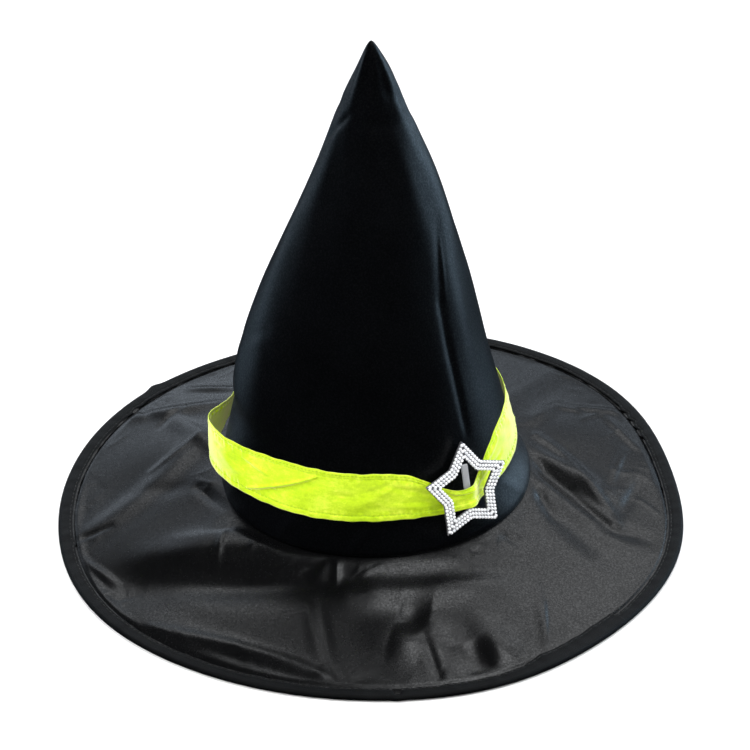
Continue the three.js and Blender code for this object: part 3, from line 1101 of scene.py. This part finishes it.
ribbon_rows = ribbon_grid()
ribbon = shell("ribbon", ribbon_rows, RIBBON_CLOTH * MM)
ribbon_stitches = [
    sew_round(f"ribbon_stitches_{edge}", ribbon_rows, row, long=1.9, gap=0.6, thread=0.13)
    for edge, row in (("low", 6), ("high", -7))
]
ribbon_middle = ribbon_rows[len(ribbon_rows) // 2]
ribbon_length = float(np.linalg.norm(np.diff(ribbon_middle, axis=0), axis=1).sum())
print("ribbon", round(ribbon_length, 3), "m round, of", len(ribbon.data.polygons), "faces")

# %% [markdown]
# ## Star buckle
# The buckle is a plated plastic star with an open middle. Each of its ten straight arms
# carries three rows of small cut stones, which stand slightly over the edge, so its
# outline is beaded. It leans with the crown, so it would be awkward to model in the hat's
# own axes. It is drawn flat instead, and turned by axes that come from the frame: its
# flattest direction points outwards, and its hinge axis runs along the bar.

# %% Find the star's axes
def node_points(name):
    node = frame["nodes"][name]
    return np.array([node.matrix_world @ vertex.co for vertex in node.data.vertices])


def star_axes():
    points = node_points("buckle_frame")
    middle = points.mean(0)
    flattest = np.linalg.svd(points - middle)[2][2]
    outwards = flattest if np.dot(flattest[:2], middle[:2]) > 0 else -flattest
    upwards = np.array(joints["buckle_rock"]["axis"])
    upwards = upwards - outwards * np.dot(upwards, outwards)
    upwards /= np.linalg.norm(upwards)
    return np.array(buckle_spot), np.stack([np.cross(upwards, outwards), upwards, outwards])


star_centre, star_turn = star_axes()


def star_view(name):
    """A frame node's points in the star's own axes, in millimetres."""
    return (node_points(name) - star_centre) @ star_turn.T / MM


star_points = star_view("buckle_frame")
star_back = star_points[:, 2].min()
STAR_TIP = np.hypot(star_points[:, 0], star_points[:, 1]).max()
STAR_NOTCH = STAR_TIP * 0.619
STAR_OPEN = 0.637
STAR_PLATE = star_points[:, 2].max() - star_back
print("star tips", round(STAR_TIP, 2), "mm out, plate", round(STAR_PLATE, 2), "mm thick")

# %% Turn star coordinates into the hat's
def star_world(local):
    """Star coordinates in millimetres (across, up, out of the back face) to metres."""
    local = np.asarray(local, float) + (0, 0, star_back)
    return star_centre + local * MM @ star_turn


def star_corner(index, share):
    """A tip of the star for an even number, and a notch for an odd one."""
    out = (STAR_TIP if index % 2 == 0 else STAR_NOTCH) * share
    turn = math.pi / 2 + index * math.pi / 5
    return np.array([out * math.cos(turn), out * math.sin(turn)])


ARMS = 10
ARM_RUN = float(np.linalg.norm(star_corner(0, 1) - star_corner(1, 1)))
OUTER_LINE = STAR_TIP * STAR_NOTCH * math.sin(math.pi / 5) / ARM_RUN
print("arm", round(ARM_RUN, 2), "mm long, its edge", round(OUTER_LINE, 2), "mm from the middle")

# %% Mould the star's tray
def star_tray():
    """A ring of ten mitred arms whose section has small bevels."""
    edge = 0.3
    bevel = 0.28 / OUTER_LINE
    outer, inner = 0.985, STAR_OPEN + 0.008
    section = [(outer - bevel, 0), (outer, edge), (outer, STAR_PLATE - edge), (outer - bevel, STAR_PLATE),
               (inner + bevel, STAR_PLATE), (inner, STAR_PLATE - edge), (inner, edge), (inner + bevel, 0)]
    rings = [[(*star_corner(index, share), out) for index in range(ARMS)] for share, out in section]
    points = star_world(np.array(rings).reshape(-1, 3))
    quads = quads_of(len(section) + 1, ARMS, True) % (len(section) * ARMS)
    return mesh_object("star_tray", points, quads, smooth_faces=False)


star_frame = star_tray()
print("tray of", len(star_frame.data.polygons), "faces")

# %% Mould the bar
BAR_SIDES = 20
BAR_WIDE, BAR_DEEP, BAR_GAP = 4.4, 1.5, 0.05


def rounded_bar(name, low, high, width, depth):
    """A bar of rounded section along the star's up direction."""
    turn = np.arange(BAR_SIDES) * 2 * math.pi / BAR_SIDES
    across = np.sign(np.cos(turn)) * np.abs(np.cos(turn)) ** 0.55 * width / 2
    out = np.sign(np.sin(turn)) * np.abs(np.sin(turn)) ** 0.7 * depth / 2
    rows = []
    for share in np.concatenate([[0, 0.01], np.linspace(0.03, 0.97, 7), [0.99, 1]]):
        size = 0.35 if share in (0, 1) else 0.85 if share in (0.01, 0.99) else 1
        up = np.full(BAR_SIDES, low + (high - low) * share)
        rows.append(np.stack([across * size, up, out * size + depth / 2 + BAR_GAP], -1))
    points = star_world(np.array(rows).reshape(-1, 3))
    last = BAR_SIDES - 1
    low_cap = np.array([[i, i + 1, last - 1 - i, last - i] for i in range(BAR_SIDES // 2 - 1)])
    high_cap = low_cap[:, ::-1] + BAR_SIDES * (len(rows) - 1)
    quads = np.concatenate([quads_of(len(rows), BAR_SIDES, True, flip=True), low_cap, high_cap])
    return mesh_object(name, points, quads)


bar_ends = star_view("buckle_bar")[:, 1]
star_bar = rounded_bar("star_bar", bar_ends.min(), bar_ends.max(), BAR_WIDE, BAR_DEEP)
print("bar", round(float(np.ptp(bar_ends)), 2), "mm long")

# %% [markdown]
# The stones are small plastic ones, cut with a girdle, a bevelled crown and a flat table.
# A bump pattern would sparkle from the front only, and copies made by a modifier would all
# face alike. So each stone is real geometry, with its own small turn and size, and all
# the stones of one arm are one mesh.

# %% Cut one stone
STONE_PITCH = 2.1
STONE_ROWS = 3
STONE_CORNERS = 32


def cut_stone(middle, turn, size):
    """Corners of one cut stone: a girdle, a bevelled crown and a flat table."""
    sides = np.arange(8) * math.pi / 4 + turn
    rings = []
    for share, out in ((0.82, 0.0), (1.0, 0.55), (0.86, 0.95), (0.42, 1.45)):
        reach = share * size
        rings.append([(middle[0] + reach * math.cos(side), middle[1] + reach * math.sin(side), out)
                      for side in sides])
    return np.array(rings).reshape(-1, 3) + (0, 0, STAR_PLATE - 0.05)


def stone_quads(first):
    table = np.array([[24, 25, 26, 27], [24, 27, 28, 31], [28, 29, 30, 31]])
    back = np.array([[0, 3, 2, 1], [0, 7, 4, 3], [4, 7, 6, 5]])
    return np.concatenate([quads_of(4, 8, True), table, back]) + first


print("a stone has", len(stone_quads(0)), "faces")

# %% Set the stones
def stone_arm(index):
    """Three rows of stones on one arm, from the tip or notch `index` to the next."""
    points = []
    for row in range(STONE_ROWS):
        line = OUTER_LINE * STAR_OPEN + (row + 0.5) * STONE_PITCH
        share = line / OUTER_LINE
        start, end = star_corner(index, share), star_corner(index + 1, share)
        number = max(2, round(ARM_RUN * share / STONE_PITCH))
        for step in range(number):
            middle = start + (end - start) * ((step + 0.5) / number)
            size = STONE_PITCH * 0.475 * chance.uniform(0.97, 1.04)
            points.append(cut_stone(middle, chance.uniform(0, 0.8), size))
    quads = np.concatenate([stone_quads(STONE_CORNERS * number) for number in range(len(points))])
    name = f"stones_{index + 1:02d}"
    return mesh_object(name, star_world(np.concatenate(points)), quads, smooth_faces=False)


stones = [stone_arm(index) for index in range(ARMS)]
print("stones", sum(len(arm.data.vertices) for arm in stones) // STONE_CORNERS)

# %% [markdown]
# ## Inside the hat
# A narrow strip of lining cloth covers the raw edges at the head opening, with one hem
# turned over and stitched, and a small folded label hangs from it at the back. The strip
# could be a copy of the crown's foot, but it is cut straight and ripples where the crown
# narrows, so it gets a grid of its own. The label is the one grid that doesn't wrap round.

# %% Sew in the sweatband
SWEAT_LOW, SWEAT_TALL = 19.5, 32.5
SWEAT_HEM = 49


def sweatband_grid():
    columns = np.linspace(-180, 180, 720, endpoint=False)
    angle, share = np.meshgrid(columns, np.linspace(0, 1, 40))
    height = SWEAT_LOW + SWEAT_TALL * share
    radius = np.interp(height, (SWEAT_LOW, 25, 40, 52), (89.3, 89.2, 84.2, 81.2))
    start = chance.uniform(0, 2 * math.pi)
    ripple = 0.35 * np.sin(9 * np.radians(angle) + start) + 0.2 * np.sin(31 * np.radians(angle))
    radius += ripple * smooth(share, 0.2, 1) - 0.25 * hump(height, SWEAT_HEM, 0.5)
    radius -= 0.3 * smooth(height, SWEAT_HEM - 0.4, SWEAT_HEM + 0.4)
    height = height + 0.3 * np.sin(17 * np.radians(angle)) * share
    grid = spot_at(angle, radius, height)
    grid[..., 0] += crown_middle(height) * MM
    return grid


sweat_rows = sweatband_grid()
sweatband = shell("sweatband_cloth", sweat_rows, 0.5 * MM)
sweat_stitches = sew_round("sweatband_stitches", sweat_rows, 36, long=2.4, gap=0.8, thread=0.16)


print("sweatband of", len(sweatband.data.polygons), "faces")

# %% Hang the label
def label_grid():
    wide, tall = label_high[0] - label_low[0], label_high[2] - label_low[2]
    side, up = np.meshgrid(np.linspace(-0.5, 0.5, 40), np.linspace(0, 1, 40))
    x = side * wide
    z = label_low[2] + up * tall
    y = label_low[1] + (0.25 + 2.4 * smooth(up, 0.4, 1.05) ** 2 + 0.5 * np.sin(3 * side + 1)) * MM
    y += 0.35 * MM * (hump(up, 0.04, 0.03) + hump(np.abs(side), 0.47, 0.02))
    return np.stack([x, y, z], -1)


care_label = shell("blank_label", label_grid(), 0.35 * MM, wraps=False)
print("label of", len(care_label.data.polygons), "faces")

# %% [markdown]
# ## Finishes
# Satin is black in itself, and nearly all that is seen of it is sheen, so its roughness
# and its fine grain matter more than its colour. A smooth gloss would look like plastic:
# here a fine grain tips the surface, and specks of a second, sharper coat make the cloth
# glitter as its floating threads do. The brim is a thinner, shinier satin than the crown's.

# %% Cloth patterns
def cloth_axes(finish):
    """Metres round the cloth and metres across it."""
    spot = finish.node("ShaderNodeUVMap", {"uv_map": "cloth"})
    return [finish.node("ShaderNodeSeparateXYZ", sockets={0: spot}, output=axis) for axis in (0, 1)]


def weave(finish, pitch, slant=0.0):
    """Threads of a woven cloth, from 0 to 1; `slant` above 0 gives a twill."""
    along, across = cloth_axes(finish)
    turn = 2 * math.pi / pitch
    warp = ((along + across * slant) * turn).sine()
    weft = ((across - along * slant) * turn).sine()
    return (warp * weft) * 0.5 + 0.5


print("cloth patterns", cloth_axes.__name__, weave.__name__)

# %% Mix the black satins
def satin(name, dark, light, roughness, grain_rise, shine, glint, stretch=(1, 1, 1)):
    """A black satin; `glint` is how many of its threads catch the light one by one."""
    finish = Finish(name, Specular_IOR_Level=shine, Coat_Roughness=roughness)
    cloud = finish.noise(0.045, 3)
    grain = finish.noise(0.0012, 1, stretch=stretch, roughness=0.6)
    slub = finish.noise(0.006, 2, stretch=(1, 1, 6))
    tone = (cloud * 0.45 + grain * 0.4 + slub * 0.15).clamped()
    finish.set(
        Base_Color=finish.ramp(tone, (0.3, dark), (0.7, light)),
        Roughness=(cloud * 0.06 + grain * 0.1 + (roughness - 0.08)).clamped(),
        Coat_Weight=((finish.noise(0.00105, 1) - 0.42) * glint).clamped(),
    )
    height = grain * 0.6 + weave(finish, 0.00035) * 0.25 + slub * 0.3
    return finish.bump(height, grain_rise)


crown_satin = satin(
    "crown_satin", (0.0004, 0.0005, 0.0007), (0.0016, 0.0019, 0.0026),
    roughness=0.36, grain_rise=0.00008, shine=0.38, glint=1.9, stretch=(1, 1, 2),
)
brim_satin = satin(
    "brim_satin", (0.0012, 0.0012, 0.0013), (0.0036, 0.0037, 0.0040),
    roughness=0.255, grain_rise=0.000065, shine=0.42, glint=2.6,
)
print("satins", crown_satin.material.name, brim_satin.material.name)

# %% Mix the matt cloths
def plain_cloth(name, dark, light, pitch, slant=0.0, roughness=0.8, rise=0.0001):
    """A matt woven cloth, with its threads and some unevenness."""
    finish = Finish(name, Specular_IOR_Level=0.3)
    cloud = finish.noise(0.012, 4)
    threads = weave(finish, pitch, slant)
    fuzz = finish.noise(0.0007, 2)
    tone = (cloud * 0.5 + threads * 0.3 + fuzz * 0.2).clamped()
    finish.set(Base_Color=finish.ramp(tone, (0.3, dark), (0.72, light)))
    finish.set(Roughness=(roughness - 0.06 + fuzz * 0.12).clamped())
    return finish.bump(threads * 0.7 + fuzz * 0.3, rise)


lining_cloth = plain_cloth("lining_cloth", (0.003, 0.003, 0.0034), (0.012, 0.012, 0.013), 0.0006)
label_cloth = plain_cloth(
    "label_cloth", (0.62, 0.61, 0.58), (0.80, 0.79, 0.76), pitch=0.0004, roughness=0.75,
)
tape_twill = plain_cloth(
    "tape_twill", (0.0006, 0.0006, 0.0008), (0.0030, 0.0033, 0.0036),
    pitch=0.0009, slant=1.0, roughness=0.54, rise=0.00018,
)
print("matt cloths", [cloth.material.name for cloth in (lining_cloth, label_cloth, tape_twill)])

# %% Mix the felt and the threads
def mix_felt():
    """Pressed fibres: a fine tangle with thin and thick places."""
    finish = Finish("felt", Specular_IOR_Level=0.15, Sheen_Weight=0.2)
    tangle = finish.noise(0.0009, 5, roughness=0.75, stretch=(1, 1, 0.35))
    cloud = finish.noise(0.01, 3)
    tone = (tangle * 0.6 + cloud * 0.4).clamped()
    black, grey = (0.007, 0.007, 0.008), (0.035, 0.035, 0.037)
    finish.set(Base_Color=finish.ramp(tone, (0.3, black), (0.7, grey)))
    finish.set(Roughness=(tangle * 0.15 + 0.8).clamped())
    return finish.bump(tangle, 0.00035)


def mix_thread(name, dark, light):
    """A twisted thread, with its two plies showing as slanting bands."""
    finish = Finish(name, Specular_IOR_Level=0.35, Sheen_Weight=0.2)
    x, y, z = (finish.place(axis) for axis in range(3))
    twist = ((x + y + z) * (2 * math.pi / 0.0005)).sine() * 0.5 + 0.5
    finish.set(Base_Color=finish.ramp(twist, (0.1, dark), (0.8, light)))
    finish.set(Roughness=(twist * 0.15 + 0.45).clamped())
    return finish.bump(twist, 0.00005)


felt = mix_felt()
black_thread = mix_thread("black_thread", (0.001, 0.001, 0.0012), (0.010, 0.010, 0.011))
neon_thread = mix_thread("neon_thread", (0.30, 0.52, 0.0), (0.62, 0.90, 0.02))
print("felt and threads", [one.material.name for one in (felt, black_thread, neon_thread)])

# %% [markdown]
# ## Neon dye
# Fluorescent dye gives back more green and yellow light than falls on it. A strong colour
# alone would look like paint, so the ribbon also glows a little in its own colour, besides
# the sheen that any satin has. Where the cloth is seen edge on, a pale sheen is painted
# into its colour and its glow. The hems are stitched, and each stitch line shows as a
# darker row of dashes.

# %% Dye the ribbon
STITCH_LINE = 0.0115
STITCH_LINE_HALF = 0.0006
STITCH_STEP = 0.0025
RIBBON_HALF = 0.0147


def mix_neon():
    finish = Finish("neon_satin", Specular_IOR_Level=0.5, Emission_Strength=0.12, Sheen_Weight=0.4,
                    Sheen_Roughness=0.35, Sheen_Tint=(0.97, 1.0, 0.55, 1))
    cloud = finish.noise(0.018, 4, roughness=0.6)
    streak = finish.noise(0.004, 3, stretch=(1, 1, 2.5))
    grain = finish.noise(0.0009, 2)
    tone = (cloud * 0.5 + streak * 0.3 + grain * 0.2).clamped()
    deep, middling, pale_dye = (0.42, 0.64, 0.0), (0.54, 0.76, 0.008), (0.72, 0.88, 0.05)
    dye = finish.ramp(tone, (0.36, deep), (0.5, middling), (0.64, pale_dye))
    # Painted sheen: where the cloth is seen edge on, this mask turns the colour and the glow pale.
    edge_on = finish.node("ShaderNodeLayerWeight", sockets={0: 0.5}, output=1)
    painted_edge_sheen = ((edge_on - 0.42) * 2.0).clamped() * (cloud * 0.6 + 0.55)
    along, across = cloth_axes(finish)
    from_middle = abs(across - RIBBON_HALF)
    seam_line = 1 - (abs(from_middle - STITCH_LINE) / STITCH_LINE_HALF).clamped()
    dashes = (along * (2 * math.pi / STITCH_STEP)).sine() * 0.35 + 0.65
    # The painted edge sheen goes into both the colour and the glow.
    colour = finish.mix(painted_edge_sheen.clamped(), dye, (0.95, 0.98, 0.42))
    colour = finish.mix((seam_line * dashes * 0.75).clamped(), colour, (0.20, 0.36, 0.0))
    finish.set(Base_Color=colour, Emission_Color=colour)
    finish.set(Roughness=(grain * 0.12 + 0.33).clamped())
    height = streak * 0.4 + grain * 0.3 + weave(finish, 0.00035) * 0.3
    return finish.bump(height, 0.0001)


neon_satin = mix_neon()
print("ribbon dyed with", len(neon_satin.tree.nodes), "nodes")

# %% [markdown]
# ## Plating, stones and wire
# The buckle is plastic with a thin bright plating, slightly wavy from the mould and dulled
# where fingers hold it. Under the stones the tray gets a much darker plating, which is
# painted shade for the gaps between them. The stones are clear plastic with silvered backs.
# Real glass would need many bounces of light in each stone, and from a little way off it
# only looks like a bright body with dark edges between, so that is what is mixed, with a
# painted glow standing in for the light bounced inside.

# %% Mix the plating, the stones and the wire
def mix_plating(name, dark, light):
    finish = Finish(name, Metallic=0.6, Specular_IOR_Level=0.6)
    cloud = finish.noise(0.006, 3)
    scratch = finish.noise(0.0007, 4, stretch=(1, 1, 8))
    tone = (cloud * 0.6 + scratch * 0.4).clamped()
    finish.set(Base_Color=finish.ramp(tone, (0.35, dark), (0.6, light)))
    finish.set(Roughness=(cloud * 0.14 + scratch * 0.08 + 0.1).clamped())
    return finish.bump(scratch * 0.4 + cloud * 0.6, 0.00006)


def mix_stone():
    # The emission is a painted glow: it stands in for the light that the stones would catch and bounce.
    finish = Finish("cut_stone", Metallic=0.2, Coat_Weight=0.6, Coat_Roughness=0.06,
                    Emission_Strength=0.20)
    cloud = finish.noise(0.0016, 2)
    finish.set(Base_Color=finish.ramp(cloud, (0.3, (0.70, 0.71, 0.74)), (0.6, (0.97, 0.97, 0.98))))
    finish.set(Emission_Color=finish.ramp(cloud, (0.3, (0.6, 0.62, 0.66)), (0.6, (1.0, 1.0, 1.0))))
    finish.set(Roughness=(cloud * 0.15 + 0.12).clamped())
    return finish.bump(cloud, 0.00008)


def mix_wire():
    """Drawn steel, with faint lines and a few dull spots."""
    finish = Finish("drawn_steel", Metallic=1.0)
    lines = finish.noise(0.0006, 3, stretch=(1, 1, 12))
    spots = finish.noise(0.004, 4)
    finish.set(Base_Color=finish.ramp(spots, (0.35, (0.20, 0.18, 0.16)), (0.6, (0.50, 0.50, 0.51))))
    finish.set(Roughness=(lines * 0.25 + 0.25).clamped())
    return finish.bump(lines, 0.00004)


plating = mix_plating("plated_plastic", (0.66, 0.67, 0.70), (0.90, 0.91, 0.93))
# The tray's much darker plating is painted shade for the gaps between the stones and for its edges.
shade_painted_plating = mix_plating("tray_plating", (0.10, 0.10, 0.11), (0.34, 0.34, 0.36))
stone = mix_stone()
steel = mix_wire()
print("hard finishes", [one.material.name for one in (plating, shade_painted_plating, stone, steel)])

# %% [markdown]
# ## Putting the hat together
# Each piece takes its finish, goes with the body that carries it, and stands for the
# plain solids in the frame. This could be written beside each piece, but in one place it
# reads as a parts list, and a missing piece is easy to spot. The ribbon lights the black
# satin but isn't mirrored in it: a true mirror image of something so bright would hide
# the cloth's own folds under a patch of green.

# %% Dress one piece
def dress(piece, finish, body, nodes=()):
    """Gives a piece its material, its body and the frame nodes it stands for."""
    piece.data.materials.clear()
    piece.data.materials.append(finish.material)
    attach(piece, body)
    if nodes:
        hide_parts(*nodes)
    return piece


# %% Dress the hat
dress(crown, crown_satin, "hat", ["crown_cloth"])
dress(crown_felt, felt, "hat", ["crown_stiffener"])
dress(brim_top, brim_satin, "hat", ["brim_top_cloth"])
dress(brim_felt, felt, "hat", ["brim_stiffener"])
dress(brim_under, lining_cloth, "hat", ["brim_under_cloth"])
dress(rim_tape, tape_twill, "hat", ["rim_binding"])
dress(rim_stitches, black_thread, "hat")
dress(tail, black_thread, "hat")
dress(hoop, steel, "hat", ["rim_hoop"])
dress(sleeve, steel, "hat", ["hoop_sleeve"])
dress(sweatband, lining_cloth, "hat", ["sweatband"])
dress(sweat_stitches, black_thread, "hat")
dress(care_label, label_cloth, "hat", ["care_label"])
print("hat dressed")

# %% Dress the ribbon and the buckle
dress(ribbon, neon_satin, "band", ["hat_band"])
ribbon.visible_glossy = False
for line in ribbon_stitches:
    dress(line, neon_thread, "band")
# The tray takes the plating that is darkened as painted shade.
dress(star_frame, shade_painted_plating, "buckle", ["buckle_frame"])
dress(star_bar, plating, "buckle", ["buckle_bar"])
for index, arm in enumerate(stones):
    dress(arm, stone, "buckle", [f"stone_strip_{index + 1:02d}"])
print("ribbon and buckle dressed, with", len(stones), "arms of stones")

# %% [markdown]
# ## The brim's layers
# Cloth can't be stretched or shrunk much, so a piece that needs more cloth than it was cut
# from is wrong however good it looks. Here each layer of the brim is listed with the
# pieces that it rests on.


# %% List what each brim layer rests on
brim_layers = ((brim_top, [brim_felt, rim_tape]), (brim_felt, [rim_tape]), (brim_under, [rim_tape]))
for piece, rests_on in brim_layers:
    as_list(rests_on)
